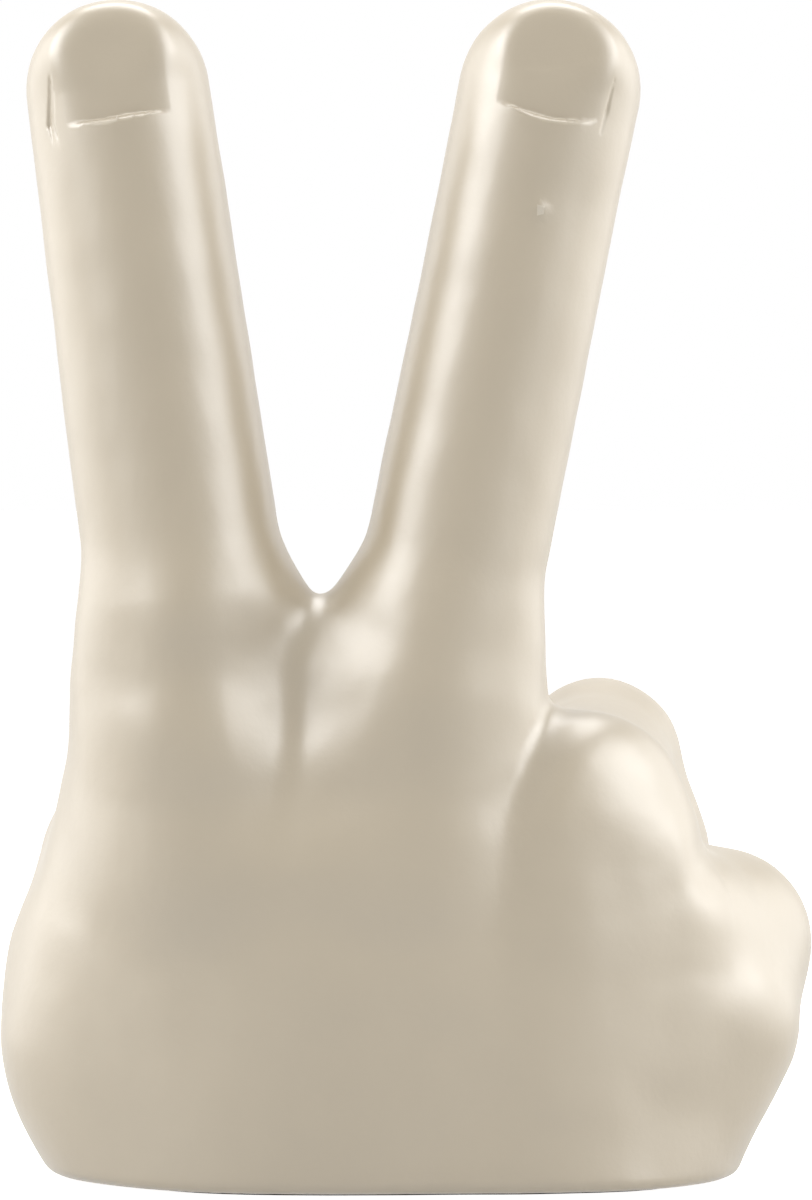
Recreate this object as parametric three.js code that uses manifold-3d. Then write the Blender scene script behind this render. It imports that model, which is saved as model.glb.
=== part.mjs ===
// Hand sculpture: a weighted cast hand standing on its flat cut base, index and middle finger raised,
// ring finger, little finger and thumb folded into the palm.
// Millimetres, +Z up, the back of the hand towards -Y, the table at z = 0.
import * as THREE from 'three';
import { mergeVertices } from 'three/addons/utils/BufferGeometryUtils.js';
import Module from 'manifold-3d';

// Raised fingers
const FINGERTIP_HEIGHT = 140.4;
const KNUCKLE_HEIGHT = 60;
const INDEX_ROOT_X = -24.5;
const MIDDLE_ROOT_X = 2.85;
const FINGER_ROOT_Y = -8.8;
const FINGERTIP_Y = -5;
const INDEX_TILT = -7.9;
const MIDDLE_TILT = 11.5;
const INDEX_ROOT_RADIUS = 11.9;
const INDEX_TIP_RADIUS = 10.9;
const MIDDLE_ROOT_RADIUS = 11.2;
const MIDDLE_TIP_RADIUS = 10.75;
const INDEX_START = 10;
const MIDDLE_START = 0;
const INDEX_WAIST = 0;
const MIDDLE_WAIST = 0.3;
const FINGER_DEPTH_RATIO = 0.98;
const SHAFT_POWER = 2;
const FINGERTIP_POWER = 4;
const BLUNT_POWER = 2.1;

// Skin fold between the raised fingers, and what carries it
const WEB = [[-20, -3, 63.5], [-2, -3, 63.5]];
const WEB_RADIUS = 5;
const WEB_FOOT = [[-20, -1, 56], [-2, -1, 56]];
const WEB_FOOT_RADIUS = 9;

// Nails
const NAIL_LENGTH = 14.5;
const NAIL_RECESS = 1.1;
const NAIL_TILT = 3;
const THUMB_NAIL_LENGTH = 13;
const THUMB_NAIL_TURN = 22;

// Palm
const PALM_X = -4;
const PALM_CENTRE_HEIGHT = 14;
const PALM_HALF_WIDTH = 37;
const PALM_HALF_DEPTH = 21;
const PALM_HALF_HEIGHT = 46;
const PALM_POWER = 2.4;

// Folded fingers and thumb: the place of each joint from the knuckle to the last, and the radius there
const RING_JOINTS = [[20.6, -7.6, 43], [23.6, 21, 49.3], [27.6, 23, 38], [19, 12, 24]];
const RING_RADII = [10.1, 9.5, 9.2, 8.4];
const RING_FOLD = [[23.3, 1, 41], [25.6, 20, 41.5]];
const RING_FOLD_RADII = [9.6, 9.4];
const LITTLE_JOINTS = [[30.5, -2.5, 31], [37.4, 11, 27.5], [33, 18, 13], [25, 9, 10]];
const LITTLE_RADII = [9, 11.3, 9, 8];
const THUMB_JOINTS = [[-31, 9, 26], [-30.3, 14, 36.5], [-8, 28, 43], [9.5, 34, 39.5]];
const THUMB_RADII = [15.5, 12.8, 10.4, 9.4];

// Knuckles of the folded fingers: a crest between two slopes, kept within a stretch of the finger
const RING_CREST = [[14.8, -18.4, 46.6], [21.5, -17, 46.6]];
const RING_SLOPES = { left: [-0.62, -0.67, 0.41], right: [0.55, -0.8, 0.22], front: [0.2, -0.97, 0.07] };
const RING_STRETCH = [[18, -7, 22], [20.4, -8.2, 38.4]];
const RING_GIRTH = 11;
const RING_EDGE = 3;
const LITTLE_CREST = [[26, -14.8, 36], [34, -11.5, 36]];
const LITTLE_SLOPES = { left: [-0.7, -0.65, 0.3], right: [0.97, -0.2, 0.15], front: [0.38, -0.92, 0.06] };
const LITTLE_STRETCH = [[27, -4, 16], [27.6, -4, 36.4]];
const LITTLE_GIRTH = 10;
const LITTLE_EDGE = 2;

// Bones of the back of the hand, from the knuckles to the base: the two places and the radius at each
const INDEX_BONE_SHIFT = [-2.6, 3.5, 0];
const INDEX_BONE = { base: [-17, -5, 0], knuckleRadius: 12, baseRadius: 16 };
const MIDDLE_BONE_SHIFT = [0.8, 3, 0];
const MIDDLE_BONE = { base: [0, -5, 0], knuckleRadius: 11.4, baseRadius: 16 };
const BETWEEN_BONES = { knuckle: [-13, -8.3, 37], base: [-9, -5.5, 0], knuckleRadius: 12, baseRadius: 16 };
const RING_BONE = { knuckle: [20, -7, 40], base: [13, -5, 0], knuckleRadius: 8.5, baseRadius: 16 };
const LITTLE_BONE = { knuckle: [28, -3, 31], base: [22, -5, 0], knuckleRadius: 6.6, baseRadius: 14 };

// The two big knuckles: flat crests with flat flanks that meet in a crease, each flank a place and a slope
const INDEX_RIGHT_EDGE = [-22, -21.6, 60];
const INDEX_RIGHT_SLOPE = [0.63, -0.763, 0.15];
const MIDDLE_LEFT_EDGE = [-2.5, -20.9, 54.4];
const MIDDLE_LEFT_SLOPE = [-0.475, -0.87, 0.15];
const INDEX_LEFT_EDGE = [-29.9, -21.7, 60];
const INDEX_LEFT_SLOPE = [-0.55, -0.79, 0.24];
const MIDDLE_RIGHT_EDGE = [4.5, -20.8, 56];
const MIDDLE_RIGHT_SLOPE = [0.4, -0.9, 0.15];
const CREST = [-24, -22, 56];
const CREST_SLOPE = [0.03, -1, 0.14];
const INDEX_KNUCKLE = { low: [-24.8, -8.1, 38], high: [-25.5, -9, 69], lowRadius: 14.3, highRadius: 12.3 };
const MIDDLE_KNUCKLE = { low: [-0.5, -7.8, 38], high: [3.4, -8, 67], lowRadius: 13.4, highRadius: 12 };
const BETWEEN_KNUCKLES = [[-24, -9.4, 46], [1, -8.9, 46]];
const BETWEEN_RADIUS = 12.4;
const BELOW_KNUCKLES = [[-24, -9, 40], [1, -8.6, 40]];
const BELOW_RADIUS = 11.8;
const CREASE_BLEND = 2;
const CREST_EDGE = 2;

// Pads of the palm: ball of the thumb, muscle beside it, heel pad and the pad under the fingers
const THENAR = [[-30.3, 4.4, 16.8], [-16, 10, 8]];
const THENAR_RADII = [17.9, 15];
const THUMB_MUSCLE = [[-26.6, 0, 52], [-30, 1.5, 30]];
const THUMB_MUSCLE_RADII = [11, 14.2];
const HEEL_PAD = [[32, 5, 19], [18, 10, 5]];
const HEEL_PAD_RADII = [11, 12];
const PALM_PAD = [[-8, 11, 40], [23, 14, 34]];
const PALM_PAD_RADII = [11, 12];
const HEEL = [[34.6, 3, 19], [28.6, 1.5, 6.6]];
const HEEL_RADII = [12, 11.2];

// How far apart two forms begin to flow into each other
const BONE_BLEND = 4;
const BACK_BLEND = 6;
const PAD_BLEND = 7;
const PALM_BLEND = 8;
const ROOT_BLEND = 5;
const FINGER_BLEND = 3;
const KNUCKLE_BLEND = 3;
const WEB_FOOT_BLEND = 4;
const WEB_BLEND = 9.5;
const HEEL_BLEND = 8;
const JOINT_BLEND = 2;
const LITTLE_BLEND = 4;
const RING_BLEND = 1.8;
const THUMB_BLEND = 5;

// Hollow, weight, rods and underside
const WALL = 8;
const HOLLOW_X = -2.5;
const HOLLOW_TOP = 46;
const DOME_POWER = 0.8;
const ROD_RADIUS = 2;
const ROD_COVER = 12;
const ROD_FOOT_HEIGHT = 20;
const CAP_THICKNESS = 3;
const CAP_LEDGE = 3;
const FELT_THICKNESS = 0.9;
const FELT_PROUD = 0.4;
const FELT_MARGIN = 3.5;
const CLEARANCE = 0.3;

// Fineness of the faceted skin and of the round pieces
const SKIN_CELL = 3.3;
const OVAL_SEGMENTS = 48;
const ROD_SEGMENTS = 20;
const DOME_STEPS = 10;
const OUTLINE_STEPS = 72;
const MERGE_DISTANCE = 1e-4;

const wasm = await Module();
wasm.setup();

const vector = (x, y, z) => new THREE.Vector3(x, y, z);

// Two surfaces closer than the reach flow into each other.
function blend(a, b, reach) {
  const overlap = Math.max(reach - Math.abs(a - b), 0) / reach;
  return Math.min(a, b) - overlap * overlap * reach / 4;
}

// What lies inside both of two surfaces, with the edge between them rounded over the reach.
function carve(a, b, reach) {
  return -blend(-a, -b, reach);
}

// Each form measures how far a point lies outside it and lists the balls that bound it.
function limb(from, to, fromRadius, toRadius) {
  const axis = to.clone().sub(from);
  const offset = new THREE.Vector3();
  const measure = (point) => {
    offset.subVectors(point, from);
    const along = THREE.MathUtils.clamp(offset.dot(axis) / axis.lengthSq(), 0, 1);
    offset.addScaledVector(axis, -along);
    return offset.length() - THREE.MathUtils.lerp(fromRadius, toRadius, along);
  };
  return { measure, balls: [[from, fromRadius], [to, toRadius]] };
}

function pad([from, to], radii) {
  return limb(vector(...from), vector(...to), ...radii);
}

// A raised finger has a waist, and its tip is blunt, most of all on the nail's side.
function raisedFinger(root, tip, start, rootRadius, tipRadius, waist) {
  const axis = tip.clone().sub(root).normalize();
  const foot = root.clone().addScaledVector(axis, start);
  const length = tip.distanceTo(foot);
  const inward = vector(0, 1, 0).addScaledVector(axis, -axis.y).normalize();
  const offset = new THREE.Vector3();
  const measure = (point) => {
    offset.subVectors(point, foot);
    const height = offset.dot(axis);
    const along = THREE.MathUtils.clamp(height, 0, length);
    offset.addScaledVector(axis, -along);
    const depth = offset.dot(inward);
    const past = Math.max(height - length, 0);
    const beside = Math.max(offset.lengthSq() - depth * depth - past * past, 1e-9);
    const flat = (beside ** (BLUNT_POWER / 2) + past ** BLUNT_POWER) ** (2 / BLUNT_POWER);
    const rise = depth < 0 ? Math.min(past * past / flat, 1) : 0;
    const power = THREE.MathUtils.lerp(SHAFT_POWER, FINGERTIP_POWER, rise);
    const size = flat ** (power / 2) + (Math.abs(depth) / FINGER_DEPTH_RATIO) ** power;
    const share = along / length;
    const radius = THREE.MathUtils.lerp(rootRadius, tipRadius, share) - 4 * waist * share * (1 - share);
    return size ** (1 / power) - radius;
  };
  const balls = [[foot, rootRadius], [tip, tipRadius]];
  return { measure, balls, root, tip, axis, inward, tipRadius };
}

function join(forms, reach) {
  const measure = (point) => forms.map((form) => form.measure(point)).reduce((a, b) => blend(a, b, reach));
  return { measure, balls: forms.flatMap((form) => form.balls) };
}

function foldedDigit(joints, radii, reach) {
  const places = joints.map((joint) => vector(...joint));
  const bones = places.slice(1).map((place, i) => limb(places[i], place, radii[i], radii[i + 1]));
  return join(bones, reach);
}

// The palm's core is a rounded block, a superellipsoid.
function palmCore() {
  const centre = vector(PALM_X, 0, PALM_CENTRE_HEIGHT);
  const half = vector(PALM_HALF_WIDTH, PALM_HALF_DEPTH, PALM_HALF_HEIGHT);
  const measure = (point) => {
    const parts = ['x', 'y', 'z'].map((k) => (Math.abs(point[k] - centre[k]) / half[k]) ** PALM_POWER);
    return ((parts[0] + parts[1] + parts[2]) ** (1 / PALM_POWER) - 1) * half.y;
  };
  return { measure, balls: [[centre, Math.max(half.x, half.y, half.z)]] };
}

function fingerFrom(rootX, tilt, start, rootRadius, tipRadius, waist) {
  const root = vector(rootX, FINGER_ROOT_Y, KNUCKLE_HEIGHT);
  const tipHeight = FINGERTIP_HEIGHT - tipRadius;
  const run = (tipHeight - KNUCKLE_HEIGHT) * Math.tan(THREE.MathUtils.degToRad(tilt));
  const tip = vector(rootX + run, FINGERTIP_Y, tipHeight);
  return raisedFinger(root, tip, start, rootRadius, tipRadius, waist);
}

const index = fingerFrom(
  INDEX_ROOT_X, INDEX_TILT, INDEX_START, INDEX_ROOT_RADIUS, INDEX_TIP_RADIUS, INDEX_WAIST,
);
const middle = fingerFrom(
  MIDDLE_ROOT_X, MIDDLE_TILT, MIDDLE_START, MIDDLE_ROOT_RADIUS, MIDDLE_TIP_RADIUS, MIDDLE_WAIST,
);

// The bones of the back of the hand run from the knuckles down to the base.
function handBack() {
  const bone = (knuckle, { base, knuckleRadius, baseRadius }) => (
    limb(knuckle, vector(...base), knuckleRadius, baseRadius)
  );
  return join([
    bone(index.root.clone().add(vector(...INDEX_BONE_SHIFT)), INDEX_BONE),
    bone(middle.root.clone().add(vector(...MIDDLE_BONE_SHIFT)), MIDDLE_BONE),
    bone(vector(...BETWEEN_BONES.knuckle), BETWEEN_BONES),
    bone(vector(...RING_BONE.knuckle), RING_BONE),
    bone(vector(...LITTLE_BONE.knuckle), LITTLE_BONE),
  ], BONE_BLEND);
}

function plane(place, slope) {
  const through = vector(...place);
  const outward = vector(...slope).normalize();
  const offset = new THREE.Vector3();
  return (point) => offset.subVectors(point, through).dot(outward);
}

// The big knuckles are one block under the skin: crests, flanks and the crease, kept within the knuckles.
function bigKnuckles() {
  const stretch = ({ low, high, lowRadius, highRadius }) => pad([low, high], [lowRadius, highRadius]);
  const bounds = join([
    stretch(INDEX_KNUCKLE),
    stretch(MIDDLE_KNUCKLE),
    pad(BETWEEN_KNUCKLES, [BETWEEN_RADIUS, BETWEEN_RADIUS]),
    pad(BELOW_KNUCKLES, [BELOW_RADIUS, BELOW_RADIUS]),
  ], KNUCKLE_BLEND);
  const indexRight = plane(INDEX_RIGHT_EDGE, INDEX_RIGHT_SLOPE);
  const middleLeft = plane(MIDDLE_LEFT_EDGE, MIDDLE_LEFT_SLOPE);
  const crest = plane(CREST, CREST_SLOPE);
  const limits = [
    plane(INDEX_LEFT_EDGE, INDEX_LEFT_SLOPE),
    plane(MIDDLE_RIGHT_EDGE, MIDDLE_RIGHT_SLOPE),
    bounds.measure,
  ];
  const measure = (point) => {
    const valley = blend(indexRight(point), middleLeft(point), CREASE_BLEND);
    const block = carve(crest(point), valley, CREST_EDGE);
    return limits.reduce((whole, limit) => carve(whole, limit(point), CREST_EDGE), block);
  };
  return { measure, balls: bounds.balls };
}

function foldedKnuckle([left, right], slopes, stretch, girth, edge) {
  const bounds = pad(stretch, [girth, girth]);
  const front = plane(left, slopes.front);
  const limits = [plane(left, slopes.left), plane(right, slopes.right), bounds.measure];
  const measure = (point) => limits.reduce(
    (whole, limit) => carve(whole, limit(point), edge),
    front(point),
  );
  return { measure, balls: bounds.balls };
}

function ringFinger() {
  const digit = foldedDigit(RING_JOINTS, RING_RADII, JOINT_BLEND);
  const knuckle = foldedKnuckle(RING_CREST, RING_SLOPES, RING_STRETCH, RING_GIRTH, RING_EDGE);
  return join([digit, pad(RING_FOLD, RING_FOLD_RADII), knuckle], JOINT_BLEND);
}

function littleFinger() {
  const digit = foldedDigit(LITTLE_JOINTS, LITTLE_RADII, JOINT_BLEND);
  const knuckle = foldedKnuckle(LITTLE_CREST, LITTLE_SLOPES, LITTLE_STRETCH, LITTLE_GIRTH, LITTLE_EDGE);
  return join([digit, knuckle], JOINT_BLEND);
}

function palmPads() {
  return join([
    pad(THENAR, THENAR_RADII),
    pad(THUMB_MUSCLE, THUMB_MUSCLE_RADII),
    pad(HEEL_PAD, HEEL_PAD_RADII),
    pad(PALM_PAD, PALM_PAD_RADII),
  ], PAD_BLEND);
}

function web() {
  return join([
    pad(WEB, [WEB_RADIUS, WEB_RADIUS]),
    pad(WEB_FOOT, [WEB_FOOT_RADIUS, WEB_FOOT_RADIUS]),
  ], WEB_FOOT_BLEND);
}

const FORMS = [
  [palmCore(), 0],
  [handBack(), BACK_BLEND],
  [palmPads(), PALM_BLEND],
  [join([index, middle], ROOT_BLEND), FINGER_BLEND],
  [web(), WEB_BLEND],
  [bigKnuckles(), KNUCKLE_BLEND],
  [pad(HEEL, HEEL_RADII), HEEL_BLEND],
  [littleFinger(), LITTLE_BLEND],
  [ringFinger(), RING_BLEND],
  [foldedDigit(THUMB_JOINTS, THUMB_RADII, THUMB_BLEND), THUMB_BLEND],
];

function hand(point) {
  let distance = FORMS[0][0].measure(point);
  for (const [form, reach] of FORMS.slice(1)) {
    distance = blend(distance, form.measure(point), reach);
  }
  return distance;
}

// The edges of a grid cell are numbered by their direction and by where they stand across it.
const edgeOf = (axis, first, second) => axis * 4 + first * 2 + second;

// The four corners round each face of a cell, each with the edge that leads to the next one.
function cellFaces() {
  const faces = [];
  for (const axis of [0, 1, 2]) {
    const b = (axis + 1) % 3;
    const c = (axis + 2) % 3;
    for (const side of [0, 1]) {
      const corner = (onB, onC) => (side << axis) + (onB << b) + (onC << c);
      faces.push([
        [corner(0, 0), edgeOf(b, 0, side)],
        [corner(1, 0), edgeOf(c, side, 1)],
        [corner(1, 1), edgeOf(b, 1, side)],
        [corner(0, 1), edgeOf(c, side, 0)],
      ]);
    }
  }
  return faces;
}

const CELL_FACES = cellFaces();

// Crossed edges of one cell, gathered into the sheets of surface that pass through it.
function sheetsIn(inside) {
  const sheetOf = new Array(12).fill(-1);
  const link = (a, b) => {
    const from = sheetOf[a] < 0 ? a : sheetOf[a];
    const to = sheetOf[b] < 0 ? b : sheetOf[b];
    sheetOf[a] = from;
    sheetOf[b] = to;
    sheetOf.forEach((sheet, edge) => {
      sheetOf[edge] = sheet === from ? to : sheet;
    });
  };
  for (const face of CELL_FACES) {
    const crossed = face.filter(([corner], i) => inside[corner] !== inside[face[(i + 1) % 4][0]]);
    if (crossed.length === 2) {
      link(crossed[0][1], crossed[1][1]);
    }
    if (crossed.length === 4) {
      face.forEach(([corner, edge], i) => inside[corner] && link(face[(i + 3) % 4][1], edge));
    }
  }
  return sheetOf;
}

// Pulls a point onto the surface along the slope of the distance.
function settle(point, measure, limit) {
  const start = point.clone();
  const step = 0.05;
  const probe = new THREE.Vector3();
  for (let round = 0; round < 5; round += 1) {
    const slope = ['x', 'y', 'z'].map((k) => {
      probe.copy(point)[k] += step;
      const ahead = measure(probe);
      probe[k] -= 2 * step;
      return (ahead - measure(probe)) / (2 * step);
    });
    const direction = vector(...slope);
    point.addScaledVector(direction, -measure(point) / Math.max(direction.lengthSq(), 0.1));
    point.sub(start).clampLength(0, limit).add(start);
  }
  return point;
}

// A skin of triangles over a form: each sheet in each cell of a grid has one corner on the surface, and
// the corners round each crossed grid edge make two triangles.
function skin(measure, balls, cell) {
  const box = new THREE.Box3();
  for (const [centre, radius] of balls) {
    box.union(new THREE.Box3().setFromCenterAndSize(centre, vector(2, 2, 2).multiplyScalar(radius)));
  }
  box.expandByScalar(2 * cell);
  const count = box.getSize(new THREE.Vector3()).divideScalar(cell).ceil().addScalar(1).toArray();
  const stride = [1, count[0], count[0] * count[1]];
  const place = (i, j, k) => vector(i, j, k).multiplyScalar(cell).add(box.min);
  const values = new Float64Array(count[0] * count[1] * count[2]);
  const nodes = [];
  for (let k = 0; k < count[2]; k += 1) {
    for (let j = 0; j < count[1]; j += 1) {
      for (let i = 0; i < count[0]; i += 1) {
        const node = i + j * stride[1] + k * stride[2];
        values[node] = measure(place(i, j, k));
        if (i + 1 < count[0] && j + 1 < count[1] && k + 1 < count[2]) {
          nodes.push([node, i, j, k]);
        }
      }
    }
  }

  const corners = [];
  const cornerOn = new Map();
  const cornerOffset = [0, 1, 2, 3, 4, 5, 6, 7].map((c) => [c & 1, (c >> 1) & 1, c >> 2]);
  for (const [node, i, j, k] of nodes) {
    const at = cornerOffset.map(([x, y, z]) => values[node + x + y * stride[1] + z * stride[2]]);
    const inside = at.map((value) => value < 0);
    if (inside.every((flag) => flag === inside[0])) {
      continue;
    }
    const sheetOf = sheetsIn(inside);
    for (const sheet of new Set(sheetOf.filter((id) => id >= 0))) {
      const middleOf = new THREE.Vector3();
      const edges = [...sheetOf.keys()].filter((edge) => sheetOf[edge] === sheet);
      for (const edge of edges) {
        const axis = edge >> 2;
        const low = (((edge >> 1) & 1) << ((axis + 1) % 3)) + ((edge & 1) << ((axis + 2) % 3));
        const high = low + (1 << axis);
        const share = at[low] / (at[low] - at[high]);
        const offset = vector(...cornerOffset[low]);
        offset.setComponent(axis, share);
        middleOf.add(offset);
        cornerOn.set(node * 12 + edge, corners.length);
      }
      middleOf.divideScalar(edges.length).add(vector(i, j, k));
      corners.push(settle(place(...middleOf), measure, cell));
    }
  }

  const triangles = [];
  for (const [node] of nodes) {
    for (const axis of [0, 1, 2]) {
      const starts = values[node] < 0;
      if (starts === values[node + stride[axis]] < 0) {
        continue;
      }
      const b = stride[(axis + 1) % 3];
      const c = stride[(axis + 2) % 3];
      const around = [[0, 0], [1, 0], [1, 1], [0, 1]].map(
        ([onB, onC]) => cornerOn.get((node - onB * b - onC * c) * 12 + edgeOf(axis, onB, onC)),
      );
      const [p, q, r, s] = starts ? around : around.reverse();
      const firstDiagonal = corners[p].distanceTo(corners[r]);
      const secondDiagonal = corners[q].distanceTo(corners[s]);
      triangles.push(...(firstDiagonal < secondDiagonal ? [p, q, r, p, r, s] : [q, r, s, q, s, p]));
    }
  }
  const geometry = new THREE.BufferGeometry().setFromPoints(corners);
  geometry.setIndex(triangles);
  return geometry;
}

// A closed solid from a geometry, ready to be joined and cut.
function solid(geometry) {
  const plain = geometry.clone();
  plain.deleteAttribute('normal');
  plain.deleteAttribute('uv');
  const merged = mergeVertices(plain, MERGE_DISTANCE);
  const source = merged.index.array;
  const triVerts = [];
  for (let i = 0; i < source.length; i += 3) {
    const [a, b, c] = [source[i], source[i + 1], source[i + 2]];
    if (a !== b && b !== c && c !== a) {
      triVerts.push(a, b, c);
    }
  }
  const vertProperties = new Float32Array(merged.attributes.position.array);
  const mesh = new wasm.Mesh({ numProp: 3, vertProperties, triVerts: new Uint32Array(triVerts) });
  return new wasm.Manifold(mesh);
}

// Heights of the underside, from the table up.
const feltSeat = FELT_THICKNESS + CLEARANCE;
const capTop = feltSeat + CAP_THICKNESS;
const mouthHeight = capTop + CLEARANCE;
const mouthHalfWidth = PALM_HALF_WIDTH - WALL;
const mouthHalfDepth = PALM_HALF_DEPTH - WALL;

// The hollow in the palm is a dome on an oval mouth, and the weight fills it to within its clearance.
function dome(floor, gap) {
  const height = HOLLOW_TOP - mouthHeight - gap;
  const profile = [new THREE.Vector2(0, floor), new THREE.Vector2(1, floor)];
  for (let i = 0; i < DOME_STEPS; i += 1) {
    const angle = i / DOME_STEPS * Math.PI / 2;
    profile.push(new THREE.Vector2(Math.cos(angle) ** DOME_POWER, mouthHeight + height * Math.sin(angle)));
  }
  profile.push(new THREE.Vector2(0, mouthHeight + height));
  const geometry = new THREE.LatheGeometry(profile, OVAL_SEGMENTS);
  geometry.rotateX(Math.PI / 2);
  geometry.scale(mouthHalfWidth - gap, mouthHalfDepth - gap, 1);
  geometry.translate(HOLLOW_X, 0, 0);
  return solid(geometry);
}

function ovalPlate(gap, from, to) {
  const geometry = new THREE.CylinderGeometry(1, 1, to - from, OVAL_SEGMENTS);
  geometry.rotateX(Math.PI / 2);
  geometry.scale(mouthHalfWidth + CAP_LEDGE - gap, mouthHalfDepth + CAP_LEDGE - gap, 1);
  geometry.translate(HOLLOW_X, 0, (from + to) / 2);
  return solid(geometry);
}

// A sheet with the outline of the base, drawn in from its edge.
function baseSheet(inset, from, to) {
  const outline = [];
  for (let i = 0; i < OUTLINE_STEPS; i += 1) {
    const angle = i / OUTLINE_STEPS * 2 * Math.PI;
    let near = 0;
    let far = 2 * PALM_HALF_WIDTH;
    while (far - near > 0.001) {
      const reach = (near + far) / 2;
      const point = vector(PALM_X + reach * Math.cos(angle), reach * Math.sin(angle), FELT_PROUD);
      if (hand(point) < -inset) {
        near = reach;
      } else {
        far = reach;
      }
    }
    outline.push(new THREE.Vector2(PALM_X + near * Math.cos(angle), near * Math.sin(angle)));
  }
  const settings = { depth: to - from, bevelEnabled: false };
  const geometry = new THREE.ExtrudeGeometry(new THREE.Shape(outline), settings);
  geometry.translate(0, 0, from);
  return solid(geometry);
}

// A straight rod from the middle of the weight, under the finger's own axis, up into the finger.
function rod(finger, gap) {
  const drop = (KNUCKLE_HEIGHT - ROD_FOOT_HEIGHT) / finger.axis.z;
  const foot = finger.root.clone().addScaledVector(finger.axis, -drop).setY(0);
  const head = finger.tip.clone().addScaledVector(finger.axis, finger.tipRadius - ROD_COVER);
  const along = head.clone().sub(foot).normalize();
  foot.addScaledVector(along, -gap);
  head.addScaledVector(along, gap);
  const radius = ROD_RADIUS + gap;
  const geometry = new THREE.CylinderGeometry(radius, radius, head.distanceTo(foot), ROD_SEGMENTS);
  geometry.applyQuaternion(new THREE.Quaternion().setFromUnitVectors(vector(0, 1, 0), along));
  geometry.translate(...foot.add(head).multiplyScalar(0.5).toArray());
  return solid(geometry);
}

// What is cut away over a nail: everything above a flat face that starts at the cuticle and dips to the tip.
function nailCut(tip, axis, outward, tipRadius, depth, length) {
  const side = axis.clone().cross(outward);
  const size = 4 * tipRadius;
  const geometry = new THREE.BoxGeometry(size, size, size);
  geometry.translate(0, size / 2, size / 2);
  geometry.rotateX(-THREE.MathUtils.degToRad(NAIL_TILT));
  geometry.translate(0, tipRadius - length, depth - NAIL_RECESS);
  geometry.applyMatrix4(new THREE.Matrix4().makeBasis(side, axis, outward).setPosition(tip));
  return solid(geometry);
}

function fingerNail(finger) {
  const { tip, axis, inward, tipRadius } = finger;
  return nailCut(tip, axis, inward.clone().negate(), tipRadius, tipRadius * FINGER_DEPTH_RATIO, NAIL_LENGTH);
}

function thumbNail() {
  const [knuckle, tip] = THUMB_JOINTS.slice(-2).map((joint) => vector(...joint));
  const radius = THUMB_RADII[3];
  const axis = tip.clone().sub(knuckle).normalize();
  const outward = vector(0, 1, Math.tan(THREE.MathUtils.degToRad(THUMB_NAIL_TURN)));
  outward.addScaledVector(axis, -outward.dot(axis)).normalize();
  return nailCut(tip, axis, outward, radius, radius, THUMB_NAIL_LENGTH);
}

// The hand is cast in one piece: skin, flat base, nails, recess for the felt, seat for the cap and hollow.
function handCasting() {
  const size = 8 * PALM_HALF_WIDTH;
  const below = new THREE.BoxGeometry(size, size, size);
  below.translate(0, 0, FELT_PROUD - size / 2);
  return solid(skin(hand, FORMS.flatMap(([form]) => form.balls), SKIN_CELL))
    .subtract(solid(below))
    .subtract(fingerNail(index))
    .subtract(fingerNail(middle))
    .subtract(thumbNail())
    .subtract(baseSheet(FELT_MARGIN, 0, feltSeat))
    .subtract(ovalPlate(0, FELT_PROUD, mouthHeight))
    .subtract(dome(feltSeat, 0))
    .subtract(rod(index, CLEARANCE))
    .subtract(rod(middle, CLEARANCE));
}

function ballastWeight() {
  return dome(mouthHeight, CLEARANCE)
    .subtract(rod(index, CLEARANCE))
    .subtract(rod(middle, CLEARANCE));
}

function piece(name, body, color, roughness, metalness) {
  const { vertProperties, triVerts, numProp } = body.getMesh();
  const geometry = new THREE.BufferGeometry();
  const positions = new THREE.InterleavedBuffer(vertProperties, numProp);
  geometry.setAttribute('position', new THREE.InterleavedBufferAttribute(positions, 3, 0));
  geometry.setIndex(new THREE.BufferAttribute(triVerts, 1));
  const mesh = new THREE.Mesh(geometry, new THREE.MeshStandardMaterial({ color, roughness, metalness }));
  mesh.name = name;
  return mesh;
}

const group = new THREE.Group();
group.name = 'hand_sculpture';
group.add(piece('hand_casting', handCasting(), 0xe3dccf, 0.4, 0));
group.add(piece('index_rod', rod(index, 0), 0x8d9094, 0.35, 1));
group.add(piece('middle_rod', rod(middle, 0), 0x8d9094, 0.35, 1));
group.add(piece('ballast_weight', ballastWeight(), 0x5c5a57, 0.8, 0.3));
group.add(piece('base_cap', ovalPlate(CLEARANCE, feltSeat, capTop), 0xd8d1c4, 0.6, 0));
group.add(piece('base_felt', baseSheet(FELT_MARGIN + CLEARANCE, 0, FELT_THICKNESS), 0x2a2724, 0.95, 0));

// The origin is on the table under the middle of the hand.
const middleOfAll = new THREE.Box3().setFromObject(group).getCenter(new THREE.Vector3());
for (const mesh of group.children) {
  mesh.geometry.translate(-middleOfAll.x, -middleOfAll.y, 0);
}

export default group;
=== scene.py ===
import math

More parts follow.
